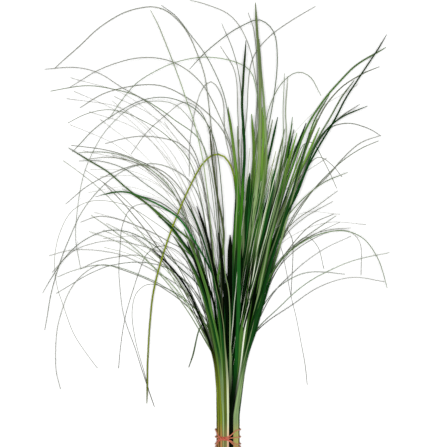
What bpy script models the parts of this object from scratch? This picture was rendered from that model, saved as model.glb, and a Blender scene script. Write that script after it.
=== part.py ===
"""Bear grass bunch: long narrow leaves held near their cut ends by a twisted band, lying on a table.

The bunch lies along Y with its cut ends at -Y, and the table is z = 0. Everything is worked out in
millimetres from the middle of the neck, where the band holds it, and then moved so that the origin is the
middle of the bottom of the whole box. The leaves lie in six layers that never meet, each one closed body:
its leaves and the pressed core that they grow from at the neck.
"""

import math
import random

import bmesh
import bpy
from mathutils import Vector

MM = 0.001
SHIFT_X = 18.2  # from the neck to the middle of the whole box, reversed
SHIFT_Y = -326.0

BAND_LIFT = 3.5  # the band under the neck holds the leaves this far off the table
NECK_TOP = 40.0  # the leaves run side by side up to here
THROAT = 112.0  # still drawn together here, before the leaves part
THROAT_LEFT = 20.5
THROAT_RIGHT = 29.0
BUTT = -50.0
ROW_PITCH = 1.9
LAYER_PITCH = 6.0
ROOT_SPACING = 3.6
ROOT_WIDTH = 3.35
ROOT_THICK = 1.75
# leaves in each row across the neck, from the table up, three rows to a layer
ROWS = ((3, 5, 7), (8, 9, 9), (10, 10, 10), (10, 10, 10), (9, 9, 8), (7, 5, 3))
LAYER_NAMES = (
    "leaf_layer_1_table",
    "leaf_layer_2",
    "leaf_layer_3",
    "leaf_layer_4",
    "leaf_layer_5",
    "leaf_layer_6_top",
)
BAND_RADIUS = 20.6
BAND_THICK = 1.05
BAND_MIDDLE = BAND_LIFT + 3.0 * LAYER_PITCH + 0.1  # its underside comes down to the table and no further
BAND_ALONG = -4.5  # the middle of the four turns, along the neck
BAND_PINCH = -17.5  # degrees from the top of the neck to where the turns twist together
ARCH = 108.0  # how high the top of the spray arches over the table, beyond the neck's own height
LEAF_GREEN = (0.13, 0.24, 0.055, 1.0)
BAND_TAN = (0.50, 0.27, 0.14, 1.0)

# Leaves placed by eye: layer, width in mm, then points in mm across and along from the neck, root to tip.
PLACED = (
    (5, 4.4, (-14, 92), (-17, 120), (-22, 150), (-28, 180), (-35, 207), (-43, 235), (-53, 263),
     (-68, 295), (-88, 325)),
    (5, 3.8, (-11, 92), (-14, 125), (-20, 158), (-27, 190), (-36, 222), (-46, 252), (-60, 282),
     (-80, 312)),
    (5, 5.0, (-9, 92), (-12, 125), (-17, 155), (-23, 185), (-29, 213), (-35, 240), (-44, 270),
     (-55, 300), (-70, 335)),
    (5, 5.0, (-6, 95), (-10, 150), (-15, 205), (-17, 245), (-12, 280), (-8, 305), (-7, 330), (-11, 358),
     (-17, 388), (-23, 425), (-27, 462), (-29, 500)),
    (5, 3.4, (-5, 92), (-7, 135), (-11, 175), (-17, 218), (-25, 262), (-36, 305), (-50, 345), (-70, 385)),
    (5, 4.4, (-4, 92), (-6, 130), (-9, 170), (-14, 212), (-19, 250), (-26, 290), (-36, 330), (-50, 372)),
    (5, 2.5, (-1, 92), (-3, 122), (-5, 150), (-8, 183), (-12, 210), (-17, 232), (-21, 252), (-25, 272),
     (-31, 300), (-40, 335)),
    (5, 5.4, (2, 92), (2, 130), (0, 170), (-3, 210), (-7, 245), (-10, 285), (-15, 330)),
    (5, 2.7, (4, 96), (4, 140), (3, 190), (2, 222), (0, 242), (-4, 262), (-6, 285), (-9, 315),
     (-15, 350)),
    (4, 9.0, (3, 98), (2, 150), (2, 200), (3, 250), (3, 290), (3, 326)),
    (5, 8.6, (9, 94), (10, 130), (10, 170), (10, 220), (10, 270), (10, 300), (12, 330), (14, 355),
     (16, 380), (15, 405), (13, 430), (9, 462), (5, 495), (0, 530)),
    (4, 3.6, (10, 97), (13, 150), (15, 210), (16, 270), (16, 330), (15, 365), (13, 395), (9, 422),
     (2, 442), (-9, 454), (-23, 455), (-38, 443), (-52, 421), (-62, 401), (-75, 373), (-90, 336),
     (-105, 294), (-118, 245), (-126, 190), (-130, 125), (-132, 52)),
    (5, 7.4, (12, 96), (14, 135), (16, 178), (17, 220), (18, 258), (18, 300), (20, 345), (22, 380),
     (24, 410), (26, 440), (26, 470), (24, 500), (22, 540), (24, 572), (28, 636)),
    (5, 8.6, (15, 100), (20, 150), (26, 208), (31, 258), (34, 300), (38, 340), (43, 380), (47, 420),
     (50, 462), (51, 520), (50, 590), (44, 698)),
    (5, 6.0, (16, 98), (20, 132), (24, 160), (27, 195), (31, 235), (36, 270), (41, 305), (46, 342),
     (52, 382), (57, 425), (60, 470)),
    (4, 6.2, (19, 100), (28, 160), (36, 220), (43, 275), (49, 330), (56, 385), (61, 435), (60, 485),
     (57, 540), (53, 590), (50, 640)),
    (5, 4.6, (22, 95), (29, 122), (36, 150), (43, 178), (51, 208), (60, 243), (68, 274), (77, 307),
     (86, 340), (95, 370), (104, 400), (112, 427), (120, 455), (130, 490)),
    (4, 3.2, (-18, 92), (-21, 117), (-29, 148), (-40, 178), (-50, 205), (-62, 231), (-76, 253),
     (-97, 280), (-122, 303)),
    (4, 4.4, (-12, 95), (-18, 140), (-27, 190), (-38, 235), (-50, 275), (-66, 315)),
    (4, 4.4, (12, 105), (17, 165), (21, 215), (24, 258), (25, 300), (25, 342), (23, 372), (19, 412),
     (17, 452), (15, 500)),
    (5, 2.6, (19, 104), (27, 165), (34, 220), (42, 270), (49, 318), (56, 352), (63, 384), (69, 430)),
    (4, 8.4, (15, 108), (21, 175), (26, 235), (29, 290), (29, 340), (31, 388), (35, 425)),
    (4, 7.4, (20, 100), (28, 148), (35, 190), (42, 232), (47, 267), (53, 302), (60, 337), (66, 372),
     (71, 402), (75, 430)),
    (4, 3.8, (22, 100), (31, 140), (39, 180), (47, 220), (54, 255), (61, 290), (68, 322), (76, 353),
     (85, 388), (95, 425)),
    (4, 5.0, (21, 104), (34, 162), (48, 222), (61, 282), (72, 332), (79, 370), (85, 402), (90, 432),
     (97, 472), (103, 515)),
    (4, 4.4, (25, 98), (32, 132), (44, 168), (54, 205), (64, 240), (74, 276), (84, 312), (93, 348),
     (103, 385), (114, 425)),
    (4, 6.0, (18, 110), (26, 180), (33, 250), (38, 320), (40, 385), (41, 430), (41, 470), (38, 520)),
    (4, 5.4, (17, 112), (27, 190), (38, 270), (46, 340), (51, 400), (55, 450), (56, 490), (55, 530)),
    (3, 6.0, (-3, 100), (-6, 150), (-11, 200), (-18, 250), (-27, 300)),
    (3, 5.6, (4, 105), (5, 170), (6, 240), (9, 310), (13, 380), (14, 440)),
    (3, 5.6, (18, 105), (27, 165), (37, 225), (48, 290), (57, 345), (66, 400)),
    (3, 5.6, (22, 105), (34, 160), (47, 220), (60, 285), (72, 345), (84, 400)),
    (2, 2.6, (-32, 320), (-60, 410), (-115, 441), (-172, 429), (-226, 380), (-262, 310), (-285, 240),
     (-298, 171)),
    (3, 2.4, (-59, 335), (-93, 378), (-135, 410), (-168, 433), (-205, 445), (-241, 445)),
    (1, 2.2, (-80, 390), (-115, 430), (-150, 449), (-200, 465), (-256, 472)),
    (2, 2.2, (-82, 382), (-120, 428), (-155, 448), (-200, 460), (-242, 459)),
    (3, 2.2, (-75, 370), (-105, 410), (-145, 440), (-190, 451), (-222, 449)),
    (1, 2.4, (-60, 370), (-100, 425), (-140, 440), (-180, 430), (-225, 408), (-265, 376)),
    (4, 2.6, (-20, 470), (-50, 525), (-100, 546), (-140, 541), (-180, 521), (-215, 495), (-250, 459)),
    (3, 2.4, (-40, 470), (-80, 532), (-112, 541), (-150, 535), (-190, 502), (-215, 465), (-232, 425),
     (-243, 370), (-246, 320), (-239, 273)),
    (2, 2.2, (14, 350), (10, 415), (0, 480), (-35, 525), (-70, 551), (-110, 568), (-150, 568),
     (-200, 556), (-241, 532)),
    (1, 2.2, (-40, 470), (-90, 515), (-140, 548), (-180, 562), (-230, 569), (-290, 560)),
    (3, 2.4, (-50, 450), (-85, 498), (-128, 538), (-167, 561), (-212, 589), (-250, 597), (-297, 594)),
    (4, 2.5, (14, 385), (8, 455), (-8, 502), (-38, 562), (-70, 593), (-105, 608), (-140, 610),
     (-180, 602), (-213, 589), (-257, 562)),
    (2, 2.4, (-20, 440), (-27, 500), (-37, 580), (-50, 620), (-70, 660), (-98, 688), (-123, 696),
     (-165, 688), (-205, 665), (-244, 630), (-282, 596)),
    (3, 2.4, (15, 370), (11, 430), (3, 500), (-5, 545), (-20, 585), (-38, 618), (-62, 650), (-85, 680),
     (-108, 697)),
    (4, 2.6, (-38, 430), (-53, 500), (-70, 553), (-88, 603), (-110, 657), (-125, 688)),
    (0, 2.0, (-60, 440), (-100, 487), (-140, 513), (-170, 526), (-200, 530), (-235, 522), (-262, 508)),
    (4, 2.0, (-30, 490), (-50, 530), (-70, 538), (-100, 517), (-130, 490), (-155, 455)),
    (1, 2.0, (-50, 440), (-75, 472), (-100, 482), (-140, 486), (-175, 481), (-200, 474)),
    (4, 2.6, (-63, 335), (-98, 372), (-140, 388), (-180, 395), (-213, 387)),
    (3, 3.2, (-50, 300), (-88, 340), (-130, 376), (-160, 398), (-195, 428), (-230, 450), (-258, 467)),
    (1, 2.2, (-55, 285), (-102, 318), (-140, 337), (-175, 350), (-210, 356), (-240, 346)),
    (4, 2.8, (-42, 235), (-74, 270), (-120, 310), (-160, 331), (-195, 333), (-235, 315), (-262, 290),
     (-283, 258), (-298, 232)),
    (2, 2.2, (-46, 250), (-93, 290), (-140, 308), (-180, 316), (-215, 313), (-250, 300), (-285, 265)),
    (3, 2.4, (-50, 210), (-84, 246), (-130, 273), (-175, 294), (-215, 301), (-255, 301), (-290, 292)),
    (2, 2.4, (-42, 215), (-74, 255), (-110, 279), (-145, 292), (-180, 290), (-212, 283), (-240, 270)),
    (1, 2.2, (-46, 215), (-93, 268), (-140, 281), (-190, 276), (-222, 264), (-250, 248), (-280, 230)),
    (2, 2.2, (-38, 175), (-70, 213), (-120, 248), (-165, 267), (-205, 277), (-235, 262), (-255, 238),
     (-272, 195), (-280, 145), (-279, 105), (-272, 75)),
    (3, 2.4, (-35, 185), (-65, 215), (-105, 243), (-145, 262), (-185, 275), (-215, 277), (-250, 268),
     (-276, 258)),
    (1, 2.0, (-50, 330), (-93, 362), (-140, 376), (-160, 367), (-172, 340), (-176, 300), (-177, 250),
     (-170, 195), (-150, 135), (-132, 80), (-120, 45)),
    (0, 2.0, (-50, 200), (-93, 235), (-130, 245), (-150, 230), (-157, 200), (-152, 155), (-138, 105),
     (-128, 65)),
    (1, 2.0, (-74, 292), (-106, 308), (-130, 297), (-145, 265), (-158, 225), (-169, 185), (-176, 140),
     (-179, 108)),
    (0, 2.0, (-59, 290), (-112, 340), (-170, 375), (-220, 382), (-255, 365), (-275, 330), (-284, 290),
     (-280, 240), (-271, 212), (-252, 163), (-230, 128), (-214, 107)),
    (3, 2.2, (48, 480), (47, 550), (36, 590), (15, 603), (-40, 612), (-90, 602), (-145, 572),
     (-170, 545), (-193, 512)),
    (2, 2.2, (14, 350), (9, 420), (-5, 490), (-10, 550), (-27, 574), (-42, 562), (-55, 520), (-62, 470),
     (-63, 420)),
    (3, 2.2, (48, 540), (44, 580), (35, 625), (20, 661), (0, 683), (-40, 700), (-62, 705)),
    (4, 2.4, (19, 370), (22, 520), (18, 580), (8, 620), (-10, 666)),
    (2, 2.2, (17, 400), (16, 520), (11, 590), (-12, 632)),
    (4, 2.6, (62, 480), (75, 560), (79, 615), (72, 655), (50, 672), (22, 662), (-4, 646), (-38, 617),
     (-62, 592)),
    (3, 2.2, (47, 560), (42, 655), (32, 685)),
    (2, 2.2, (30, 520), (40, 610), (60, 640), (100, 672), (142, 697)),
    (3, 2.4, (58, 490), (70, 540), (90, 575), (112, 588), (132, 581), (150, 550)),
    (4, 2.6, (76, 400), (87, 470), (88, 515), (90, 585)),
    (2, 2.6, (82, 430), (94, 480), (93, 525), (97, 580)),
    (4, 3.6, (90, 350), (110, 390), (130, 440), (165, 500), (195, 555), (240, 622), (256, 649)),
    (3, 3.8, (82, 370), (105, 440), (125, 495), (148, 535), (175, 568), (205, 598), (256, 630)),
    (1, 2.8, (115, 430), (150, 520), (180, 562), (218, 588), (247, 600)),
    (2, 3.0, (100, 385), (145, 480), (165, 515), (185, 550), (205, 577)),
    (4, 3.4, (92, 360), (107, 400), (122, 455), (137, 505), (163, 552)),
    (3, 2.8, (98, 370), (127, 440), (155, 490), (180, 515), (213, 537)),
    (4, 3.2, (92, 350), (120, 420), (150, 485), (180, 513), (225, 533)),
    (1, 2.2, (92, 335), (125, 435), (150, 487), (173, 503), (200, 507), (230, 498), (248, 487)),
    (2, 2.4, (95, 335), (135, 395), (165, 425), (185, 448), (215, 475), (249, 487)),
    (1, 2.2, (90, 320), (140, 400), (185, 445), (215, 466), (246, 479)),
    (3, 2.6, (82, 330), (110, 373), (150, 408), (193, 427)),
    (0, 2.0, (105, 420), (124, 474), (138, 477), (155, 450), (168, 425), (178, 402)),
    (0, 2.0, (90, 350), (118, 420), (148, 453), (170, 440), (187, 420)),
    (4, 2.8, (62, 245), (82, 280), (110, 308), (155, 330), (195, 331), (220, 318), (240, 290),
     (250, 262), (256, 240)),
    (3, 2.4, (66, 255), (100, 300), (140, 328), (170, 335), (198, 337)),
    (2, 2.4, (70, 262), (100, 302), (130, 325), (175, 357)),
    (1, 2.2, (70, 255), (105, 310), (140, 345), (173, 360)),
    (2, 2.2, (72, 285), (95, 328), (125, 355), (170, 380)),
    (3, 2.2, (78, 310), (110, 350), (145, 374), (177, 397)),
    (0, 2.0, (75, 265), (105, 302), (140, 325), (183, 346)),
    (2, 2.2, (70, 225), (105, 265), (150, 300), (200, 324)),
    (2, 2.4, (43, 165), (80, 205), (125, 245), (180, 275), (225, 290), (262, 297)),
    (3, 2.4, (29, 120), (43, 165), (100, 210), (150, 243), (200, 257), (253, 250)),
    (0, 2.0, (55, 270), (74, 318), (85, 308), (95, 270), (104, 225), (113, 185), (125, 120), (130, 80)),
    (1, 2.0, (72, 285), (94, 335), (104, 322), (106, 280), (103, 228)),
    (0, 2.0, (85, 275), (128, 322), (146, 307), (157, 270)),
    (1, 2.0, (85, 275), (150, 325), (195, 332), (214, 314), (217, 260)),
    (2, 2.4, (42, 180), (60, 215), (90, 247), (130, 265), (190, 262)),
    (3, 2.8, (-25, 150), (-38, 182), (-46, 174), (-57, 130), (-64, 110)),
)


def eased(value, low, high):
    share = min(1.0, max(0.0, (value - low) / (high - low)))
    return share * share * (3.0 - 2.0 * share)


def away(x, y):
    """How far a point is from the neck, across the table."""
    return max(0.0, math.hypot(x, max(y - NECK_TOP, 0.0)) - 20.0)


def layer_floor(layer, x, y):
    """Height of the surface under a layer. Each is everywhere above the one before it."""
    far = away(x, y)
    lift = BAND_LIFT * (1.0 - eased(far, 15.0, 130.0))
    arch = 0.5 - 0.5 * math.cos(math.pi * min(1.0, far / 400.0))
    arch *= 1.0 - 0.45 * eased(far, 420.0, 720.0)
    arch *= 1.0 - 0.30 * eased(abs(x), 40.0, 300.0)
    return lift + LAYER_PITCH * layer + ARCH * arch * (layer / 6.0) ** 1.15


def through(points, samples):
    """A smooth curve through the points, as evenly numbered samples with the same count on each span."""
    knots = [0.0]
    for a, b in zip(points, points[1:]):
        knots.append(knots[-1] + max(1e-6, (b - a).length) ** 0.5)
    spans = len(points) - 1
    slopes = []
    for i in range(len(points)):
        if i == 0 or i == spans:
            j = min(i, spans - 1)
            slopes.append((points[j + 1] - points[j]) / (knots[j + 1] - knots[j]))
            continue
        before = (points[i] - points[i - 1]) / (knots[i] - knots[i - 1])
        after = (points[i + 1] - points[i]) / (knots[i + 1] - knots[i])
        share = (knots[i] - knots[i - 1]) / (knots[i + 1] - knots[i - 1])
        slopes.append(before * (1.0 - share) + after * share)
    curve = []
    for i in range(spans):
        wide = knots[i + 1] - knots[i]
        for k in range(samples):
            t = k / samples
            curve.append(
                points[i] * (2 * t**3 - 3 * t**2 + 1)
                + slopes[i] * wide * (t**3 - 2 * t**2 + t)
                + points[i + 1] * (3 * t**2 - 2 * t**3)
                + slopes[i + 1] * wide * (t**3 - t**2)
            )
    curve.append(points[-1].copy())
    return curve


def grown(rng, kind):
    """Points of one more leaf, bending more and more to its tip."""
    if kind == "left":
        start = -rng.uniform(10.0, 27.0)
        end = start - rng.uniform(20.0, 75.0)
        length = rng.uniform(260.0, 450.0)
        power = rng.uniform(1.2, 2.0)
    else:
        start = rng.uniform(5.0, 17.0)
        end = start + rng.uniform(-3.0, 10.0)
        length = rng.uniform(260.0, 430.0)
        power = rng.uniform(1.2, 2.4)
    x, y = 0.65 * start, THROAT
    points = [(x, y)]
    steps = 24
    for step in range(steps):
        heading = math.radians(start + (end - start) * ((step + 0.5) / steps) ** power)
        x += length / steps * math.sin(heading)
        y += length / steps * math.cos(heading)
        if step % 4 == 3:
            points.append((x, y))
    if min(points)[0] < -275.0 or max(points)[0] > 215.0 or max(y for _, y in points) > 600.0:
        return grown(rng, kind)
    return points


def slant(leaf):
    """How far a leaf leans from the neck to its first point, which sets its place among the roots."""
    x, y = leaf[1][0]
    return x / (y - 10.0)


def narrowest_on_top(leaves):
    """Where roots lie over each other in one column, their leaves swap rows until the narrowest is on top."""
    columns = {}
    for leaf in leaves:
        columns.setdefault((leaf["layer"], round(leaf["root"])), []).append(leaf)
    for column in columns.values():
        rows = sorted(leaf["row"] for leaf in column)
        column.sort(key=lambda leaf: -leaf["width"])
        for leaf, row in zip(column, rows):
            leaf["height"] += (row - leaf["row"]) / 3.0
            leaf["row"] = row


def all_leaves():
    """Every leaf with its layer, its root in the neck and its points, the same at every run."""
    rng = random.Random(41)
    kinds = ("centre", "left", "centre", "centre")
    count = 0
    leaves = []
    for layer, rows in enumerate(ROWS):
        roots = []
        for row, many in enumerate(rows):
            for place in range(many):
                roots.append(((place - (many - 1) / 2.0) * ROOT_SPACING, row))
        mine = [(width, points) for where, width, *points in PLACED if where == layer]
        while len(mine) < len(roots):
            kind = kinds[count % len(kinds)]
            count += 1
            width = rng.uniform(3.0, 4.6) if kind == "centre" else rng.uniform(2.2, 3.0)
            mine.append((width, grown(rng, kind)))
        mine.sort(key=slant)
        roots.sort()
        for (width, points), (root, row) in zip(mine, roots):
            leaves.append(
                {
                    "layer": layer,
                    "row": row,
                    "root": root + rng.uniform(-0.08, 0.08),
                    "butt": BUTT + rng.uniform(-3.5, 3.5),
                    "width": width,
                    "points": points,
                    "height": (row + rng.uniform(0.12, 0.88)) / 3.0,
                    "sway": rng.uniform(-0.25, 0.25),
                    "roll": rng.uniform(-14.0, 14.0),
                    "lying": False,
                }
            )
    narrowest_on_top(leaves)
    lowest = [leaf for leaf in leaves if leaf["layer"] == 0]
    for number, leaf in enumerate(lowest):
        leaf["lying"] = number % 3 == 1
        leaf["height"] = 0.12 * (number % 2 == 0) if leaf["lying"] else 0.2 + 0.4 * leaf["height"]
    return leaves


def centre_line(leaf, samples):
    """The leaf's middle line in mm, its underside's height given by its place within its layer."""
    root, layer = leaf["root"], leaf["layer"]
    plan = [Vector((root, leaf["butt"], 0.0)), Vector((root, NECK_TOP - 8.0, 0.0))]
    x, y = leaf["points"][0]
    if y > THROAT + 45.0:
        lean = max(-THROAT_LEFT, min(THROAT_RIGHT, x / (y - 10.0) * (THROAT - 10.0)))
        plan.append(Vector((0.35 * root + 0.65 * lean, THROAT, 0.0)))
    plan += [Vector((x, y, 0.0)) for x, y in leaf["points"]]
    curve = through(plan[1:], samples)
    curve = [plan[0]] + curve
    low_row = (0.15 + ROW_PITCH * leaf["row"]) / LAYER_PITCH
    done = 0.0
    total = sum((b - a).length for a, b in zip(curve, curve[1:]))
    for i, point in enumerate(curve):
        if i:
            done += (Vector((point.x, point.y, 0.0)) - Vector((curve[i - 1].x, curve[i - 1].y, 0.0))).length
        far = away(point.x, point.y)
        free = eased(far, 10.0, 200.0)
        bottom = layer_floor(layer, point.x, point.y)
        room = layer_floor(layer + 1, point.x, point.y) - bottom
        spare = 0.15 + 2.3 * eased(far, 25.0, 170.0)
        share = leaf["height"] + leaf["sway"] * eased(far, 120.0, 300.0) * math.sin(2.6 * done / total)
        if leaf["lying"]:
            z = bottom + low_row * LAYER_PITCH * (1.0 - eased(far, 15.0, 130.0)) + leaf["height"]
        else:
            inside = spare + min(1.0, max(0.0, share)) * (room - 2.0 * spare - thickness(far))
            z = bottom + (1.0 - free) * low_row * LAYER_PITCH + free * inside
        curve[i] = Vector((point.x, point.y, z))
    return curve


def thickness(far):
    return ROOT_THICK + (0.9 - ROOT_THICK) * eased(far, 20.0, 150.0)


def fewer_points(curve):
    """Keeps only the points that the leaf's bends need, closer together near the neck."""
    kept = {0, 1, len(curve) - 1}
    spans = [(1, len(curve) - 1)]
    while spans:
        first, last = spans.pop()
        a, b = curve[first], curve[last]
        along = b - a
        worst, where = 1.0, None
        for i in range(first + 1, last):
            t = max(0.0, min(1.0, (curve[i] - a).dot(along) / along.length_squared))
            off = curve[i] - (a + along * t)
            free = eased(away(curve[i].x, curve[i].y), 10.0, 160.0)
            off = math.hypot(off.z, (0.3 + 0.7 * free) * math.hypot(off.x, off.y))
            allowed = 0.15 + 3.3 * free
            if off / allowed > worst:
                worst, where = off / allowed, i
        if where is not None:
            kept.add(where)
            spans += [(first, where), (where, last)]
    return [curve[i] for i in sorted(kept)]


def leaf_mesh(leaf):
    """A narrow three-sided leaf: flat below with a ridge above, blunt at its cut end and at its tip."""
    line = fewer_points(centre_line(leaf, 10))
    lengths = [0.0]
    for a, b in zip(line, line[1:]):
        lengths.append(lengths[-1] + (b - a).length)
    bm = bmesh.new()
    bmesh.ops.create_circle(bm, cap_ends=True, segments=3, radius=MM)
    bm.faces.ensure_lookup_table()
    section = bm.faces[0]
    for i, point in enumerate(line):
        if i:
            made = bmesh.ops.extrude_face_region(bm, geom=[section])
            if i > 1:
                bmesh.ops.delete(bm, geom=[section], context="FACES_ONLY")
            section = next(item for item in made["geom"] if isinstance(item, bmesh.types.BMFace))
        ahead = (line[min(i + 1, len(line) - 1)] - point).normalized() if i < len(line) - 1 else None
        behind = (point - line[i - 1]).normalized() if i else None
        along = (ahead or behind) + (behind or ahead)
        side = Vector((along.y, -along.x, 0.0)).normalized()
        up = side.cross(along.normalized())
        far = away(point.x, point.y)
        grow = eased(far, 15.0, 150.0)
        share = lengths[i] / lengths[-1]
        width = ROOT_WIDTH + (leaf["width"] - ROOT_WIDTH) * grow
        width *= 1.0 - 0.35 * grow * share**2
        tip = eased(lengths[-1] - lengths[i], 0.0, 70.0)
        width = 1.2 + (width - 1.2) * tip
        thick = max(0.7, thickness(far) * (0.8 + 0.2 * tip))
        roll = math.radians(leaf["roll"]) * eased(far, 60.0, 260.0)
        across = side * math.cos(roll) + up * math.sin(roll)
        over = up * math.cos(roll) - side * math.sin(roll)
        if leaf["lying"]:
            across, over = side, Vector((0.0, 0.0, 1.0))
        corners = (
            point - across * width / 2,
            point + across * width / 2,
            point + over * thick,
        )
        for loop, corner in zip(section.loops, corners):
            loop.vert.co = place(corner)
    bmesh.ops.triangulate(bm, faces=bm.faces)
    bmesh.ops.recalc_face_normals(bm, faces=bm.faces)
    return bm


def place(point):
    return Vector(((point.x + SHIFT_X) * MM, (point.y + SHIFT_Y) * MM, point.z * MM))


def finish_of(name, colour, roughness):
    material = bpy.data.materials.new(name)
    material.use_nodes = True
    shader = material.node_tree.nodes["Principled BSDF"]
    shader.inputs["Base Color"].default_value = colour
    shader.inputs["Roughness"].default_value = roughness
    return material


def added(name, data, collection):
    made = bpy.data.objects.new(name, data)
    collection.objects.link(made)
    return made


def mesh_from(name, bm):
    mesh = bpy.data.meshes.new(name)
    bm.to_mesh(mesh)
    bm.free()
    return mesh


def core_mesh(layer):
    """The roots pressed into one body at the neck, just inside the outline of the leaves around it."""
    rows = ROWS[layer]
    half = [(many - 1) / 2.0 * ROOT_SPACING + ROOT_WIDTH / 2 - 1.0 for many in (rows[0], rows[2])]
    heights = [BAND_LIFT + LAYER_PITCH * layer + 0.5, BAND_LIFT + LAYER_PITCH * (layer + 1) - 0.5]
    ends = (BUTT + 5.0, NECK_TOP + 6.0)
    bm = bmesh.new()
    for vert in bmesh.ops.create_cube(bm, size=2.0)["verts"]:
        upper = vert.co.z > 0.0
        vert.co = place(Vector((vert.co.x * half[upper], ends[vert.co.y > 0.0], heights[upper])))
    bmesh.ops.triangulate(bm, faces=bm.faces)
    return bm


def fill_pockets(mesh):
    """Leaves that meet all round can shut a pocket in. Its inner walls go, so that the body is solid there."""
    bm = bmesh.new()
    bm.from_mesh(mesh)
    left = set(bm.faces)
    pockets = []
    while left:
        shell = [left.pop()]
        for face in shell:
            for edge in face.edges:
                for other in edge.link_faces:
                    if other in left:
                        left.remove(other)
                        shell.append(other)
        volume = 0.0
        for face in shell:
            first, *rest = [vert.co for vert in face.verts]
            for a, b in zip(rest, rest[1:]):
                volume += first.dot(a.cross(b))
        if volume < 0.0:
            pockets += shell
    bmesh.ops.delete(bm, geom=pockets, context="FACES")
    bm.to_mesh(mesh)
    bm.free()


def build_layers(parts, material):
    """Six bodies, each the union of its core and its leaves."""
    leaves = all_leaves()
    for layer, name in enumerate(LAYER_NAMES):
        body = added(name, mesh_from(name, core_mesh(layer)), parts)
        repeats = bpy.data.collections.new("repeats_" + name)
        bpy.context.scene.collection.children.link(repeats)
        for number, leaf in enumerate(item for item in leaves if item["layer"] == layer):
            label = f"{name}_leaf_{number}"
            added(label, mesh_from(label, leaf_mesh(leaf)), repeats)
        union = body.modifiers.new("join", "BOOLEAN")
        union.operation = "UNION"
        union.operand_type = "COLLECTION"
        union.collection = repeats
        union.solver = "MANIFOLD"
        bpy.context.view_layer.update()
        graph = bpy.context.evaluated_depsgraph_get()
        joined = bpy.data.meshes.new_from_object(body.evaluated_get(graph))
        body.modifiers.clear()
        fill_pockets(joined)
        body.data = joined
        joined.materials.clear()
        joined.materials.append(material)
        for item in list(repeats.objects):
            bpy.data.objects.remove(item, do_unlink=True)
        bpy.data.collections.remove(repeats)


def band_stations():
    """Angles of one turn round the neck, from its top, closer together where the turns twist."""
    stations = []
    degrees = -160.0
    while degrees < 199.0:
        stations.append(degrees)
        near = abs(degrees - BAND_PINCH + 1.0)
        degrees += 4.0 if near < 20.0 else 9.0 if near < 46.0 else 22.0
    return stations


def band_line():
    """The band's middle line: four turns spread along the neck, drawn together and twisted at one place."""
    turns = 4
    line = []
    for turn in range(turns):
        for degrees in band_stations():
            near = abs(degrees - BAND_PINCH)
            spread = 2.3 + 12.7 * eased(near, 9.0, 66.0)
            pile = 2.1 * (1.0 - eased(near, 20.0, 52.0))
            twist = min(1.0, max(0.0, (degrees - BAND_PINCH + 17.0) / 34.0))
            phase = math.radians(22.5 + 270.0 * (turn + twist))
            along = BAND_ALONG + spread * (math.cos(phase) - 0.35 * math.sin(phase) ** 2)
            radius = BAND_RADIUS + pile * (1.0 + math.sin(phase))
            angle = math.radians(degrees)
            line.append(Vector((radius * math.sin(angle), along, BAND_MIDDLE + radius * math.cos(angle))))
    return line


def build_band(parts, material):
    curve = bpy.data.curves.new("twisted_band", "CURVE")
    curve.dimensions = "3D"
    curve.bevel_depth = BAND_THICK * MM
    curve.bevel_resolution = 1
    line = band_line()
    spline = curve.splines.new("POLY")
    spline.points.add(len(line) - 1)
    for knot, point in zip(spline.points, line):
        knot.co = (*place(point), 1.0)
    spline.use_cyclic_u = True
    curve.materials.append(material)
    added("twisted_band", curve, parts)


def main():
    for item in list(bpy.data.objects):
        bpy.data.objects.remove(item, do_unlink=True)
    parts = bpy.data.collections.new("bear grass bunch")
    bpy.context.scene.collection.children.link(parts)
    build_layers(parts, finish_of("leaf", LEAF_GREEN, 0.42))
    build_band(parts, finish_of("band", BAND_TAN, 0.5))


main()
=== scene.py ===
"""Bear grass bunch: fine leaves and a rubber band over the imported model, on a pale stage, seen from above.

A leaf is worked out in millimetres from the middle of the neck, where the band holds the bunch, with +y to
the tips. placed() turns such a point into metres in the model's own frame.
"""

import math
import random

import bmesh
import bpy
from bpy.props import FloatProperty, FloatVectorProperty, IntProperty, PointerProperty
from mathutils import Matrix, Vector, noise


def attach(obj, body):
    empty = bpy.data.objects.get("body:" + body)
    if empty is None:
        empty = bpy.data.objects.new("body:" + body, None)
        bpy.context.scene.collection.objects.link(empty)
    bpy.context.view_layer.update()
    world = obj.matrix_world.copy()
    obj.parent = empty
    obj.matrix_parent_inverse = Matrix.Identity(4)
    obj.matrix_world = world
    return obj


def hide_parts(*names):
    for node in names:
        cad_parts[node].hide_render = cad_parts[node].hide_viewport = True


bl_info = {
    "name": "Bear Grass Bunch",
    "version": (1, 0, 0),
    "blender": (4, 5, 0),
    "location": "View3D > Sidebar > Bear Grass",
    "description": "Fine keeled leaves, a twisted rubber band and a photo stage for a bunch of bear grass",
    "category": "Object",
}

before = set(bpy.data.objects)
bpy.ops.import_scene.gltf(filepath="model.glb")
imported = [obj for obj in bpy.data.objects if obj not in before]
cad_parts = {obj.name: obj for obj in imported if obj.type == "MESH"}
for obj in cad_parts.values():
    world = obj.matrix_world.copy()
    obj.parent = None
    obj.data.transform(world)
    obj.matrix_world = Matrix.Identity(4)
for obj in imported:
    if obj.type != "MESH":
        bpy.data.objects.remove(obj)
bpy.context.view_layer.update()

MM = 0.001
NECK_X = 18.2  # the middle of the neck in the model's frame, in mm
NECK_Y = -326.0
BAND_LIFT = 3.5
NECK_TOP = 40.0
THROAT = 112.0  # still drawn together here, before the leaves part
THROAT_LEFT = 20.5
THROAT_RIGHT = 29.0
BUTT = -50.0
ROW_PITCH = 1.9
LAYER_PITCH = 6.0
ROOT_SPACING = 3.6
ROOT_WIDTH = 3.35
ROOT_THICK = 1.75
ARCH = 108.0
YOUNG_ROOT = 1.6  # the young leaves in front start right of this, clear of the pale strand
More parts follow.
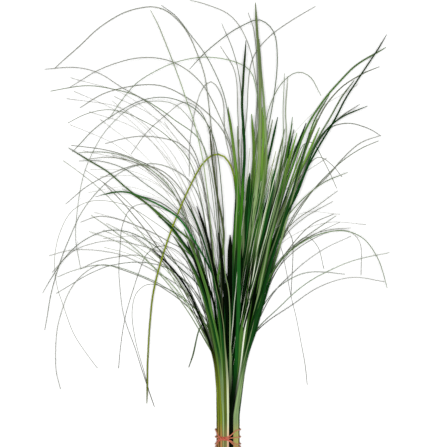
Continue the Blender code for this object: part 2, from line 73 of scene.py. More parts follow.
# leaves in each row across the neck, from the table up, three rows to a layer
ROWS = ((3, 5, 7), (8, 9, 9), (10, 10, 10), (10, 10, 10), (9, 9, 8), (7, 5, 3))
LAYER_NODES = (
    "leaf_layer_1_table",
    "leaf_layer_2",
    "leaf_layer_3",
    "leaf_layer_4",
    "leaf_layer_5",
    "leaf_layer_6_top",
)
BAND_NODE = "twisted_band"
BAND_MIDDLE = BAND_LIFT + 3.0 * LAYER_PITCH + 0.1
BAND_RADIUS = 20.6
BAND_ALONG = -4.5
BAND_PINCH = -17.5  # degrees from the top of the neck to where the turns twist together
BAND_TURNS = 4

MODEL_SEED = 41  # draws the model's own leaves
FINER_SEED = 11  # draws the leaves that the model leaves out
LOOKS_SEED = 23  # draws each leaf's own tone, turn and unevenness
WANDER_SEED = 7  # for the slight unevenness of the blades' lines
SPAN_SAMPLES = 12  # points on each span of a leaf's line, before they are spaced evenly
ACROSS = 4  # faces across a leaf, two on each side of its keel

# What shows at the neck from above, strand by strand from its left edge: how far each reaches in mm, then the
# tones of the leaf over the neck and of its base.
NECK_STRANDS = (
    (-15.2, "moss", "russet"),
    (-13.5, "yellow", "tan"),
    (-11.7, "moss", "russet"),
    (-8.0, "yellow", "tan"),
    (-6.2, "sage", "fawn"),
    (-2.7, "moss", "fawn"),
    (-1.0, "deep", "pink"),
    (1.0, "cream", "pink"),
    # painted shade: this strand stands for the dark gap in the middle of the neck
    (8.0, "shade", "shade"),
    (15.2, "sage", "straw"),
    (30.0, "deep", "russet"),
)

# Where a blade's second and third tone take over, in mm along it from the neck.
TONE_CHANGES = ((270.0, 360.0), (400.0, 455.0))
YOUNG_TONES = (
    "shade/deep/lime",
    "deep/sage/pale",
    "shade/shade/deep",
    "shade/forest/lime",
    "bone",
    "deep/forest/bright",
    "shade/grass/yellow",
    "shade/sage/bone",
)
# How the blades that a rule drew are coloured, by the place that they fill.
DRAWN_TONES = {
    "centre": ("shade/deep/lime", "shade/grass", "shade/sage/lime", "deep/sage", "sage/pale", "shade/deep"),
    "left": ("olive/grey", "sage", "deep/sage", "olive"),
}
# How far a drawn leaf may reach to the left, to the right and to the far end, in mm.
DRAWN_REACH = (-275.0, 215.0, 600.0)
WISP_REACH = (-268.0, 232.0, 590.0)

# Leaves placed one by one: tones from foot to tip, layer, width in mm, then points in mm across and along
# from the neck, root to tip.
PLACED = (
    ("grass", 5, 4.4, (-14, 92), (-17, 120), (-22, 150), (-28, 180), (-35, 207), (-43, 235), (-53, 263),
     (-68, 295), (-88, 325)),
    ("deep", 5, 3.8, (-11, 92), (-14, 125), (-20, 158), (-27, 190), (-36, 222), (-46, 252), (-60, 282),
     (-80, 312)),
    ("grass", 5, 5.0, (-9, 92), (-12, 125), (-17, 155), (-23, 185), (-29, 213), (-35, 240), (-44, 270),
     (-55, 300), (-70, 335)),
    ("grass/olive", 5, 5.0, (-6, 95), (-10, 150), (-15, 205), (-17, 245), (-12, 280), (-8, 305),
     (-7, 330), (-11, 358), (-17, 388), (-23, 425), (-27, 462), (-29, 500)),
    ("deep", 5, 3.4, (-5, 92), (-7, 135), (-11, 175), (-17, 218), (-25, 262), (-36, 305), (-50, 345),
     (-70, 385)),
    ("shade", 5, 4.4, (-4, 92), (-6, 130), (-9, 170), (-14, 212), (-19, 250), (-26, 290), (-36, 330),
     (-50, 372)),
    ("pale", 5, 2.5, (-1, 92), (-3, 122), (-5, 150), (-8, 183), (-12, 210), (-17, 232), (-21, 252),
     (-25, 272), (-31, 300), (-40, 335)),
    ("shade", 5, 5.4, (2, 92), (2, 130), (0, 170), (-3, 210), (-7, 245), (-10, 285), (-15, 330)),
    ("sage", 5, 2.7, (4, 96), (4, 140), (3, 190), (2, 222), (0, 242), (-4, 262), (-6, 285), (-9, 315),
     (-15, 350)),
    ("shade", 4, 9.0, (3, 98), (2, 150), (2, 200), (3, 250), (3, 290), (3, 326)),
    ("deep/bright/lime", 5, 8.6, (9, 94), (10, 130), (10, 170), (10, 220), (10, 270), (10, 300),
     (12, 330), (14, 355), (16, 380), (15, 405), (13, 430), (9, 462), (5, 495), (0, 530)),
    ("bright/bright/yellow", 4, 3.6, (10, 97), (13, 150), (15, 210), (16, 270), (16, 330), (15, 365),
     (13, 395), (9, 422), (2, 442), (-9, 454), (-23, 455), (-38, 443), (-52, 421), (-62, 401), (-75, 373),
     (-90, 336), (-105, 294), (-118, 245), (-126, 190), (-130, 125), (-132, 52)),
    ("forest/bright/deep", 5, 7.4, (12, 96), (14, 135), (16, 178), (17, 220), (18, 258), (18, 300),
     (20, 345), (22, 380), (24, 410), (26, 440), (26, 470), (24, 500), (22, 540), (24, 572), (28, 636)),
    ("grass/sage/pale", 5, 8.6, (15, 100), (20, 150), (26, 208), (31, 258), (34, 300), (38, 340), (43, 380),
     (47, 420), (50, 462), (51, 520), (50, 590), (44, 698)),
    ("faded/sage/lime", 5, 6.0, (16, 98), (20, 132), (24, 160), (27, 195), (31, 235), (36, 270), (41, 305),
     (46, 342), (52, 382), (57, 425), (60, 470)),
    ("grass/sage", 4, 6.2, (19, 100), (28, 160), (36, 220), (43, 275), (49, 330), (56, 385), (61, 435),
     (60, 485), (57, 540), (53, 590), (50, 640)),
    ("deep", 5, 4.6, (22, 95), (29, 122), (36, 150), (43, 178), (51, 208), (60, 243), (68, 274),
     (77, 307), (86, 340), (95, 370), (104, 400), (112, 427), (120, 455), (130, 490)),
    ("shade", 4, 3.2, (-18, 92), (-21, 117), (-29, 148), (-40, 178), (-50, 205), (-62, 231), (-76, 253),
     (-97, 280), (-122, 303)),
    ("shade", 4, 4.4, (-12, 95), (-18, 140), (-27, 190), (-38, 235), (-50, 275), (-66, 315)),
    ("sage", 4, 4.4, (12, 105), (17, 165), (21, 215), (24, 258), (25, 300), (25, 342), (23, 372),
     (19, 412), (17, 452), (15, 500)),
    ("bone", 5, 2.6, (19, 104), (27, 165), (34, 220), (42, 270), (49, 318), (56, 352), (63, 384),
     (69, 430)),
    ("shade/deep", 4, 8.4, (15, 108), (21, 175), (26, 235), (29, 290), (29, 340), (31, 388), (35, 425)),
    ("shade/forest", 4, 7.4, (20, 100), (28, 148), (35, 190), (42, 232), (47, 267), (53, 302), (60, 337),
     (66, 372), (71, 402), (75, 430)),
    ("sage", 4, 3.8, (22, 100), (31, 140), (39, 180), (47, 220), (54, 255), (61, 290), (68, 322),
     (76, 353), (85, 388), (95, 425)),
    ("bright", 4, 5.0, (21, 104), (34, 162), (48, 222), (61, 282), (72, 332), (79, 370), (85, 402),
     (90, 432), (97, 472), (103, 515)),
    ("deep/sage", 4, 4.4, (25, 98), (32, 132), (44, 168), (54, 205), (64, 240), (74, 276), (84, 312),
     (93, 348), (103, 385), (114, 425)),
    ("shade/grass/lime", 4, 6.0, (18, 110), (26, 180), (33, 250), (38, 320), (40, 385), (41, 430), (41, 470),
     (38, 520)),
    ("shade/forest/lime", 4, 5.4, (17, 112), (27, 190), (38, 270), (46, 340), (51, 400), (55, 450), (56, 490),
     (55, 530)),
    ("shade", 3, 6.0, (-3, 100), (-6, 150), (-11, 200), (-18, 250), (-27, 300)),
    ("deep", 3, 5.6, (4, 105), (5, 170), (6, 240), (9, 310), (13, 380), (14, 440)),
    ("deep", 3, 5.6, (18, 105), (27, 165), (37, 225), (48, 290), (57, 345), (66, 400)),
    ("shade", 3, 5.6, (22, 105), (34, 160), (47, 220), (60, 285), (72, 345), (84, 400)),
    ("deep", 2, 2.6, (-32, 320), (-60, 410), (-115, 441), (-172, 429), (-226, 380), (-262, 310),
     (-285, 240), (-298, 171)),
    ("deep", 3, 2.4, (-59, 335), (-93, 378), (-135, 410), (-168, 433), (-205, 445), (-241, 445)),
    ("olive", 1, 2.2, (-80, 390), (-115, 430), (-150, 449), (-200, 465), (-256, 472)),
    ("grass", 2, 2.2, (-82, 382), (-120, 428), (-155, 448), (-200, 460), (-242, 459)),
    ("olive", 3, 2.2, (-75, 370), (-105, 410), (-145, 440), (-190, 451), (-222, 449)),
    ("grey", 1, 2.4, (-60, 370), (-100, 425), (-140, 440), (-180, 430), (-225, 408), (-265, 376)),
    ("deep", 4, 2.6, (-20, 470), (-50, 525), (-100, 546), (-140, 541), (-180, 521), (-215, 495),
     (-250, 459)),
    ("deep", 3, 2.4, (-40, 470), (-80, 532), (-112, 541), (-150, 535), (-190, 502), (-215, 465),
     (-232, 425), (-243, 370), (-246, 320), (-239, 273)),
    ("olive", 2, 2.2, (14, 350), (10, 415), (0, 480), (-35, 525), (-70, 551), (-110, 568), (-150, 568),
     (-200, 556), (-241, 532)),
    ("grass", 1, 2.2, (-40, 470), (-90, 515), (-140, 548), (-180, 562), (-230, 569), (-290, 560)),
    ("olive", 3, 2.4, (-50, 450), (-85, 498), (-128, 538), (-167, 561), (-212, 589), (-250, 597),
     (-297, 594)),
    ("grey", 4, 2.5, (14, 385), (8, 455), (-8, 502), (-38, 562), (-70, 593), (-105, 608), (-140, 610),
     (-180, 602), (-213, 589), (-257, 562)),
    ("olive", 2, 2.4, (-20, 440), (-27, 500), (-37, 580), (-50, 620), (-70, 660), (-98, 688),
     (-123, 696), (-165, 688), (-205, 665), (-244, 630), (-282, 596)),
    ("deep", 3, 2.4, (15, 370), (11, 430), (3, 500), (-5, 545), (-20, 585), (-38, 618), (-62, 650),
     (-85, 680), (-108, 697)),
    ("sage", 4, 2.6, (-38, 430), (-53, 500), (-70, 553), (-88, 603), (-110, 657), (-125, 688)),
    ("grass", 0, 2.0, (-60, 440), (-100, 487), (-140, 513), (-170, 526), (-200, 530), (-235, 522),
     (-262, 508)),
    ("olive", 4, 2.0, (-30, 490), (-50, 530), (-70, 538), (-100, 517), (-130, 490), (-155, 455)),
    ("grey", 1, 2.0, (-50, 440), (-75, 472), (-100, 482), (-140, 486), (-175, 481), (-200, 474)),
    ("shade", 4, 2.6, (-63, 335), (-98, 372), (-140, 388), (-180, 395), (-213, 387)),
    ("grass", 3, 3.2, (-50, 300), (-88, 340), (-130, 376), (-160, 398), (-195, 428), (-230, 450),
     (-258, 467)),
    ("olive", 1, 2.2, (-55, 285), (-102, 318), (-140, 337), (-175, 350), (-210, 356), (-240, 346)),
    ("deep", 4, 2.8, (-42, 235), (-74, 270), (-120, 310), (-160, 331), (-195, 333), (-235, 315),
     (-262, 290), (-283, 258), (-298, 232)),
    ("olive", 2, 2.2, (-46, 250), (-93, 290), (-140, 308), (-180, 316), (-215, 313), (-250, 300),
     (-285, 265)),
    ("grey", 3, 2.4, (-50, 210), (-84, 246), (-130, 273), (-175, 294), (-215, 301), (-255, 301),
     (-290, 292)),
    ("olive", 2, 2.4, (-42, 215), (-74, 255), (-110, 279), (-145, 292), (-180, 290), (-212, 283),
     (-240, 270)),
    ("deep", 1, 2.2, (-46, 215), (-93, 268), (-140, 281), (-190, 276), (-222, 264), (-250, 248),
     (-280, 230)),
    ("olive", 2, 2.2, (-38, 175), (-70, 213), (-120, 248), (-165, 267), (-205, 277), (-235, 262),
     (-255, 238), (-272, 195), (-280, 145), (-279, 105), (-272, 75)),
    ("grass", 3, 2.4, (-35, 185), (-65, 215), (-105, 243), (-145, 262), (-185, 275), (-215, 277),
     (-250, 268), (-276, 258)),
    ("olive", 1, 2.0, (-50, 330), (-93, 362), (-140, 376), (-160, 367), (-172, 340), (-176, 300),
     (-177, 250), (-170, 195), (-150, 135), (-132, 80), (-120, 45)),
    ("grey", 0, 2.0, (-50, 200), (-93, 235), (-130, 245), (-150, 230), (-157, 200), (-152, 155),
     (-138, 105), (-128, 65)),
    ("olive", 1, 2.0, (-74, 292), (-106, 308), (-130, 297), (-145, 265), (-158, 225), (-169, 185),
     (-176, 140), (-179, 108)),
    ("olive", 0, 2.0, (-59, 290), (-112, 340), (-170, 375), (-220, 382), (-255, 365), (-275, 330),
     (-284, 290), (-280, 240), (-271, 212), (-252, 163), (-230, 128), (-214, 107)),
    ("grass", 3, 2.2, (48, 480), (47, 550), (36, 590), (15, 603), (-40, 612), (-90, 602), (-145, 572),
     (-170, 545), (-193, 512)),
    ("grey", 2, 2.2, (14, 350), (9, 420), (-5, 490), (-10, 550), (-27, 574), (-42, 562), (-55, 520),
     (-62, 470), (-63, 420)),
    ("olive", 3, 2.2, (48, 540), (44, 580), (35, 625), (20, 661), (0, 683), (-40, 700), (-62, 705)),
    ("deep", 4, 2.4, (19, 370), (22, 520), (18, 580), (8, 620), (-10, 666)),
    ("olive", 2, 2.2, (17, 400), (16, 520), (11, 590), (-12, 632)),
    ("deep", 4, 2.6, (62, 480), (75, 560), (79, 615), (72, 655), (50, 672), (22, 662), (-4, 646),
     (-38, 617), (-62, 592)),
    ("deep", 3, 2.2, (47, 560), (42, 655), (32, 685)),
    ("olive", 2, 2.2, (30, 520), (40, 610), (60, 640), (100, 672), (142, 697)),
    ("grass", 3, 2.4, (58, 490), (70, 540), (90, 575), (112, 588), (132, 581), (150, 550)),
    ("grass", 4, 2.6, (76, 400), (87, 470), (88, 515), (90, 585)),
    ("sage", 2, 2.6, (82, 430), (94, 480), (93, 525), (97, 580)),
    ("deep", 4, 3.6, (90, 350), (110, 390), (130, 440), (165, 500), (195, 555), (240, 622), (256, 649)),
    ("grass", 3, 3.8, (82, 370), (105, 440), (125, 495), (148, 535), (175, 568), (205, 598), (256, 630)),
    ("olive", 1, 2.8, (115, 430), (150, 520), (180, 562), (218, 588), (247, 600)),
    ("grass", 2, 3.0, (100, 385), (145, 480), (165, 515), (185, 550), (205, 577)),
    ("grass", 4, 3.4, (92, 360), (107, 400), (122, 455), (137, 505), (163, 552)),
    ("grey", 3, 2.8, (98, 370), (127, 440), (155, 490), (180, 515), (213, 537)),
    ("deep", 4, 3.2, (92, 350), (120, 420), (150, 485), (180, 513), (225, 533)),
    ("deep", 1, 2.2, (92, 335), (125, 435), (150, 487), (173, 503), (200, 507), (230, 498), (248, 487)),
    ("olive", 2, 2.4, (95, 335), (135, 395), (165, 425), (185, 448), (215, 475), (249, 487)),
    ("grass", 1, 2.2, (90, 320), (140, 400), (185, 445), (215, 466), (246, 479)),
    ("grass", 3, 2.6, (82, 330), (110, 373), (150, 408), (193, 427)),
    ("grey", 0, 2.0, (105, 420), (124, 474), (138, 477), (155, 450), (168, 425), (178, 402)),
    ("olive", 0, 2.0, (90, 350), (118, 420), (148, 453), (170, 440), (187, 420)),
    ("grass", 4, 2.8, (62, 245), (82, 280), (110, 308), (155, 330), (195, 331), (220, 318), (240, 290),
     (250, 262), (256, 240)),
    ("olive", 3, 2.4, (66, 255), (100, 300), (140, 328), (170, 335), (198, 337)),
    ("grass", 2, 2.4, (70, 262), (100, 302), (130, 325), (175, 357)),
    ("olive", 1, 2.2, (70, 255), (105, 310), (140, 345), (173, 360)),
    ("grey", 2, 2.2, (72, 285), (95, 328), (125, 355), (170, 380)),
    ("olive", 3, 2.2, (78, 310), (110, 350), (145, 374), (177, 397)),
    ("deep", 0, 2.0, (75, 265), (105, 302), (140, 325), (183, 346)),
    ("olive", 2, 2.2, (70, 225), (105, 265), (150, 300), (200, 324)),
    ("grass", 2, 2.4, (43, 165), (80, 205), (125, 245), (180, 275), (225, 290), (262, 297)),
    ("olive", 3, 2.4, (29, 120), (43, 165), (100, 210), (150, 243), (200, 257), (253, 250)),
    ("grey", 0, 2.0, (55, 270), (74, 318), (85, 308), (95, 270), (104, 225), (113, 185), (125, 120),
     (130, 80)),
    ("olive", 1, 2.0, (72, 285), (94, 335), (104, 322), (106, 280), (103, 228)),
    ("deep", 0, 2.0, (85, 275), (128, 322), (146, 307), (157, 270)),
    ("olive", 1, 2.0, (85, 275), (150, 325), (195, 332), (214, 314), (217, 260)),
    ("grass", 2, 2.4, (42, 180), (60, 215), (90, 247), (130, 265), (190, 262)),
    ("grass", 3, 2.8, (-25, 150), (-38, 182), (-46, 174), (-57, 130), (-64, 110)),
)

# Leaves of the left side that the model leaves out.
EXTRA = (
    ("deep/forest", 4, 3.6, (-13, 150), (-16, 215), (-23, 259), (-34, 282), (-55, 318), (-81, 355),
     (-128, 382), (-168, 395), (-204, 390)),
    ("forest/grass", 3, 3.4, (-16, 150), (-23, 215), (-34, 248), (-52, 282), (-75, 314), (-104, 350),
     (-131, 376), (-160, 395)),
    ("shade/deep", 4, 3.4, (-16, 150), (-23, 215), (-31, 241), (-45, 277), (-70, 311), (-92, 339),
     (-112, 356)),
)


def tone_property(name, description, colour):
    return FloatVectorProperty(
        name=name, description=description, default=colour, subtype="COLOR", size=3, min=0.0, max=1.0
    )


class BearGrassLeafSettings(bpy.types.PropertyGroup):
    stations: IntProperty(
        name="Stations", description="Cross sections along each leaf", default=88, min=12, max=120
    )
    thickness: FloatProperty(
        name="Thickness", description="Thickness of a leaf's wall", default=0.00042, unit="LENGTH", min=0.0001
    )
    keel: FloatProperty(
        name="Keel", description="Height of the keel as a share of the leaf's width", default=0.26, min=0.0,
        max=0.6
    )
    slim: FloatProperty(
        name="Slim", description="Width of the free blades as a share of the model's", default=0.95, min=0.3,
        max=1.2
    )
    twist: FloatProperty(
        name="Twist", description="How far a blade may turn along its length", default=math.radians(34.0),
        subtype="ANGLE"
    )
    # The inner leaves take the shade tone: painted shade deep in the middle of the bunch.
    inner: IntProperty(
        name="Inner leaves", description="Dark leaves deep in the middle, beside the model's own", default=14,
        min=0
    )
    young: IntProperty(
        name="Young leaves", description="Slim short leaves in front, beside the model's own", default=33,
        min=0
    )
    wisps: IntProperty(
        name="Wisps", description="Hair-thin arching leaves, beside the model's own", default=22, min=0
    )
    deep: tone_property("Deep green", "Old blades in the middle of the bunch", (0.005, 0.045, 0.006))
    forest: tone_property("Forest green", "Full green at the foot of the front blades", (0.012, 0.105, 0.014))
    grass: tone_property("Grass green", "Fresh blades", (0.07, 0.17, 0.03))
    bright: tone_property("Bright green", "The brightest blades in front", (0.040, 0.175, 0.010))
    sage: tone_property("Sage", "Blades that show their bloom", (0.235, 0.35, 0.15))
    pale: tone_property("Pale sage", "The widest blade in the middle", (0.19, 0.27, 0.105))
    lime: tone_property("Lime", "Young ends of the middle blades", (0.125, 0.26, 0.035))
    bone: tone_property("Bone", "The palest blade, from the cream strand", (0.62, 0.68, 0.55))
    olive: tone_property("Olive", "Thin arching blades", (0.055, 0.072, 0.030))
    grey: tone_property("Grey green", "Dull thin blades", (0.10, 0.115, 0.085))
    yellow: tone_property("Yellow green", "Young yellowish blades", (0.17, 0.22, 0.015))
    moss: tone_property("Moss", "Brownish green at the neck's edges", (0.082, 0.118, 0.014))
    cream: tone_property("Cream", "The palest strand at the neck", (0.70, 0.78, 0.50))
    # Shade is painted shade: near-black blades, and foot parts of blades, that stand for the dark gaps deep
    # between the others.
    shade: tone_property("Shade", "Blades deep between the others", (0.0008, 0.004, 0.0008))
    tan: tone_property("Tan", "Leaf bases at the left of the band", (0.42, 0.20, 0.08))
    russet: tone_property("Russet", "Brown leaf bases at the neck's edges", (0.10, 0.035, 0.012))
    fawn: tone_property("Fawn", "Greenish leaf bases at the band", (0.26, 0.25, 0.09))
    pink: tone_property("Pink", "The palest leaf bases", (0.78, 0.48, 0.34))
    straw: tone_property("Straw", "Yellowish leaf bases at the right of the band", (0.50, 0.46, 0.13))
    faded: tone_property("Faded", "Thin blades far from the neck", (0.39, 0.41, 0.325))
    faint: tone_property("Faint", "The thinnest blades", (0.50, 0.51, 0.45))
    tip: tone_property("Tip", "Dry ends of the blades", (0.05, 0.05, 0.03))


class BearGrassBandSettings(bpy.types.PropertyGroup):
    thickness: FloatProperty(
        name="Thickness", description="Radius of the rubber strand", default=0.00098, unit="LENGTH",
        min=0.0002
    )
    tan: tone_property("Tan", "Rubber where it is stretched thin", (0.50, 0.20, 0.10))
    salmon: tone_property("Salmon", "Rubber where its turns pile up", (0.55, 0.11, 0.07))


class BearGrassStageSettings(bpy.types.PropertyGroup):
    view_width: FloatProperty(
        name="View width", description="Width of what the camera sees at the bunch", default=0.724,
        unit="LENGTH"
    )
    camera_height: FloatProperty(
        name="Camera height", description="Height of the camera over the table", default=4.2, unit="LENGTH"
    )
    sky: FloatProperty(name="Sky", description="Strength of the even white light", default=0.22, min=0.0)
    key: FloatProperty(
        name="Key", description="Power of the large lamp over the bunch", default=215.0, min=0.0, unit="POWER"
    )
    floor: FloatProperty(name="Floor", description="Whiteness of the table", default=0.93, min=0.0, max=1.0)


def eased(value, low, high):
    share = min(1.0, max(0.0, (value - low) / (high - low)))
    return share * share * (3.0 - 2.0 * share)


def blended(first, second, share):
    return tuple(a + (b - a) * share for a, b in zip(first, second))


def placed(point):
    return Vector(((point.x + NECK_X) * MM, (point.y + NECK_Y) * MM, point.z * MM))


def away(x, y):
    """How far a point is from the neck, across the table."""
    return max(0.0, math.hypot(x, max(y - NECK_TOP, 0.0)) - 20.0)


def layer_floor(layer, x, y):
    """Height of the surface under a layer. Each is everywhere above the one before it."""
    far = away(x, y)
    lift = BAND_LIFT * (1.0 - eased(far, 15.0, 130.0))
    arch = 0.5 - 0.5 * math.cos(math.pi * min(1.0, far / 400.0))
    arch *= 1.0 - 0.45 * eased(far, 420.0, 720.0)
    arch *= 1.0 - 0.30 * eased(abs(x), 40.0, 300.0)
    return lift + LAYER_PITCH * layer + ARCH * arch * (layer / 6.0) ** 1.15


def thickness_at(far):
    return ROOT_THICK + (0.9 - ROOT_THICK) * eased(far, 20.0, 150.0)


def through(points, samples):
    """A smooth curve through the points, as evenly numbered samples with the same count on each span."""
    knots = [0.0]
    for a, b in zip(points, points[1:]):
        knots.append(knots[-1] + max(1e-6, (b - a).length) ** 0.5)
    spans = len(points) - 1
    slopes = []
    for i in range(len(points)):
        if i == 0 or i == spans:
            j = min(i, spans - 1)
            slopes.append((points[j + 1] - points[j]) / (knots[j + 1] - knots[j]))
            continue
        before = (points[i] - points[i - 1]) / (knots[i] - knots[i - 1])
        after = (points[i + 1] - points[i]) / (knots[i + 1] - knots[i])
        share = (knots[i] - knots[i - 1]) / (knots[i + 1] - knots[i - 1])
        slopes.append(before * (1.0 - share) + after * share)
    curve = []
    for i in range(spans):
        wide = knots[i + 1] - knots[i]
        for k in range(samples):
            t = k / samples
            curve.append(
                points[i] * (2 * t**3 - 3 * t**2 + 1)
                + slopes[i] * wide * (t**3 - 2 * t**2 + t)
                + points[i + 1] * (3 * t**2 - 2 * t**3)
                + slopes[i + 1] * wide * (t**3 - t**2)
            )
    curve.append(points[-1].copy())
    return curve


def within(points, reach):
    """Whether a leaf stays inside the bunch's outline."""
    left, right, top = reach
    return min(points)[0] >= left and max(points)[0] <= right and max(y for _, y in points) <= top


def grown(rng, kind):
    """Points of one more leaf, bending more and more to its tip."""
    if kind == "left":
        start = -rng.uniform(10.0, 27.0)
        end = start - rng.uniform(20.0, 75.0)
        length = rng.uniform(260.0, 450.0)
        power = rng.uniform(1.2, 2.0)
    else:
        start = rng.uniform(5.0, 17.0)
        end = start + rng.uniform(-3.0, 10.0)
        length = rng.uniform(260.0, 430.0)
        power = rng.uniform(1.2, 2.4)
    points = bent(start, end, length, power)
    return points if within(points, DRAWN_REACH) else grown(rng, kind)


def slant(points):
    """How far a leaf leans from the neck to its first point, which sets its place among the roots."""
    x, y = points[0]
    return x / (y - 10.0)


def narrowest_on_top(leaves):
    """Where roots lie over each other in one column, their leaves swap rows until the narrowest is on top."""
    columns = {}
    for leaf in leaves:
        columns.setdefault((leaf["layer"], round(leaf["root"])), []).append(leaf)
    for column in columns.values():
        rows = sorted(leaf["row"] for leaf in column)
        column.sort(key=lambda leaf: -leaf["width"])
        for leaf, row in zip(column, rows):
            leaf["height"] += (row - leaf["row"]) / 3.0
            leaf["row"] = row


def new_leaf(rng, layer, row, root, width, points, tone, in_front=False):
    """One leaf's own numbers. The drawn ones keep this order, by which the model's leaves come out again."""
    return {
        "layer": layer,
        "row": row,
        "root": root,
        "butt": BUTT + rng.uniform(-3.5, 3.5),
        "width": width,
        "points": points,
        "height": rng.uniform(0.85, 1.0) if in_front else (row + rng.uniform(0.12, 0.88)) / 3.0,
        "sway": rng.uniform(-0.25, 0.25),
        "roll": rng.uniform(-14.0, 14.0),
        "lying": False,
        "tone": tone,
    }


def all_leaves():
    """Every leaf of the model again, drawn with its seed in its order, and then each leaf's own looks."""
    rng = random.Random(MODEL_SEED)
    kinds = ("centre", "left", "centre", "centre")
    count = 0
    leaves = []
    for layer, rows in enumerate(ROWS):
        roots = []
        for row, many in enumerate(rows):
            for place in range(many):
                roots.append(((place - (many - 1) / 2.0) * ROOT_SPACING, row))
        mine = [(width, points, tone) for tone, where, width, *points in PLACED if where == layer]
        while len(mine) < len(roots):
            kind = kinds[count % len(kinds)]
            count += 1
            width = rng.uniform(3.0, 4.6) if kind == "centre" else rng.uniform(2.2, 3.0)
            mine.append((width, grown(rng, kind), kind))
        mine.sort(key=lambda leaf: slant(leaf[1]))
        roots.sort()
        for (width, points, tone), (root, row) in zip(mine, roots):
            root += rng.uniform(-0.08, 0.08)
            leaves.append(new_leaf(rng, layer, row, root, width, points, tone))
    narrowest_on_top(leaves)
    lowest = [leaf for leaf in leaves if leaf["layer"] == 0]
    for number, leaf in enumerate(lowest):
        leaf["lying"] = number % 3 == 1
        leaf["height"] = 0.12 * (number % 2 == 0) if leaf["lying"] else 0.2 + 0.4 * leaf["height"]
    choose_tones(leaves)
    return leaves


def bent(start, end, length, power):
    """Points of a leaf from the throat on, its heading in degrees going from start to end along it."""
    x, y = 0.65 * start, THROAT
    points = [(x, y)]
    steps = 24
    for step in range(steps):
        heading = math.radians(start + (end - start) * ((step + 0.5) / steps) ** power)
        x += length / steps * math.sin(heading)
        y += length / steps * math.cos(heading)
        if step % 4 == 3:
            points.append((x, y))
    return points


def finer_leaves(settings):
    """Leaves that the model leaves out: dark ones deep in the bunch coloured with painted shade, young ones
    in front, hair-thin wisps.
    """
    rng = random.Random(FINER_SEED)
    made = [(layer, width, points, tone) for tone, layer, width, *points in EXTRA]
    # Inner leaves: near-black blades that stand for the shade deep in the bunch (painted shade).
    for number in range(settings.inner):
        start = -5.0 + 15.0 * (number + rng.uniform(0.2, 0.8)) / settings.inner
        length = 168.0 + 30.0 * max(0.0, start - 1.0) - 14.0 * max(0.0, -start)
        end = start + rng.uniform(-2.0, 3.0)
        points = bent(start, end, min(length, 300.0) + rng.uniform(-12.0, 12.0), 1.5)
        made.append((3 - number % 3, rng.uniform(4.8, 6.6) + 0.2 * max(0.0, start), points, "shade"))
    for number in range(settings.young):
        share = (number + rng.random()) / settings.young
        start = 2.5 + 12.3 * share if number % 3 else 6.6 + 3.4 * share
        end = start + rng.uniform(-6.0, 8.0)
        points = bent(start, end, rng.uniform(255.0, 370.0), 2.2)
        made.append((5, rng.uniform(1.6, 2.5), points, YOUNG_TONES[number % len(YOUNG_TONES)]))
    while len(made) < len(EXTRA) + settings.inner + settings.young + settings.wisps:
        side = 1.0 if len(made) % 6 == 3 else -1.0
        start = side * rng.uniform(1.0, 9.0)
        end = start + side * rng.uniform(35.0, 120.0)
        points = bent(start, end, rng.uniform(330.0, 620.0), rng.uniform(1.3, 2.6))
        if within(points, WISP_REACH):
            made.append((len(made) % 4, 1.0, points, "grey/faint"))
    leaves = []
    for layer, width, points, tone in made:
        in_front = layer == 5
        row = 0 if in_front else rng.randrange(3)
        reach = (ROWS[layer][row] - 1) / 2.0 * ROOT_SPACING
        root = 1.4 * slant(points[1:]) * reach + rng.uniform(-4.0, 4.0)
        root = max(YOUNG_ROOT if in_front else -reach, min(reach, root))
        leaves.append(new_leaf(rng, layer, row, root, width, points, tone, in_front))
    choose_tones(leaves)
    return leaves


def choose_tones(leaves):
    """Each leaf's own looks. Thin blades fade far from the neck, except in the middle of the bunch."""
    rng = random.Random(LOOKS_SEED)
    for number, leaf in enumerate(leaves):
        x, y = leaf["points"][-1]
        low = (1.0 - eased(y, 300.0, 420.0)) * (leaf["width"] < 3.0)
        middle = (1.0 - eased(abs(x - 0.1 * y), 50.0, 100.0)) * (1.0 - eased(y, 490.0, 560.0))
        leaf["slim"] = (0.62 if leaf["tone"] == "left" else 1.0) * (1.06 - 0.30 * low)
        leaf["pallor"] = (0.30 + 0.22 * low + 0.2 * (leaf["tone"] == "left")) * (1.0 - middle)
        mix = DRAWN_TONES.get(leaf["tone"])
        if mix:
            leaf["tone"] = mix[rng.randrange(len(mix))]
        leaf["number"] = number
        leaf["lightness"] = rng.uniform(0.75, 1.4)
        leaf["wave"] = rng.uniform(0.0, 100.0)
        leaf["swell"] = 0.75 if leaf["tone"] == "bone" else rng.uniform(1.12, 1.6)
        leaf["lean"] = rng.uniform(-9.0, 9.0)
        leaf["spin"] = rng.uniform(-1.0, 1.0)


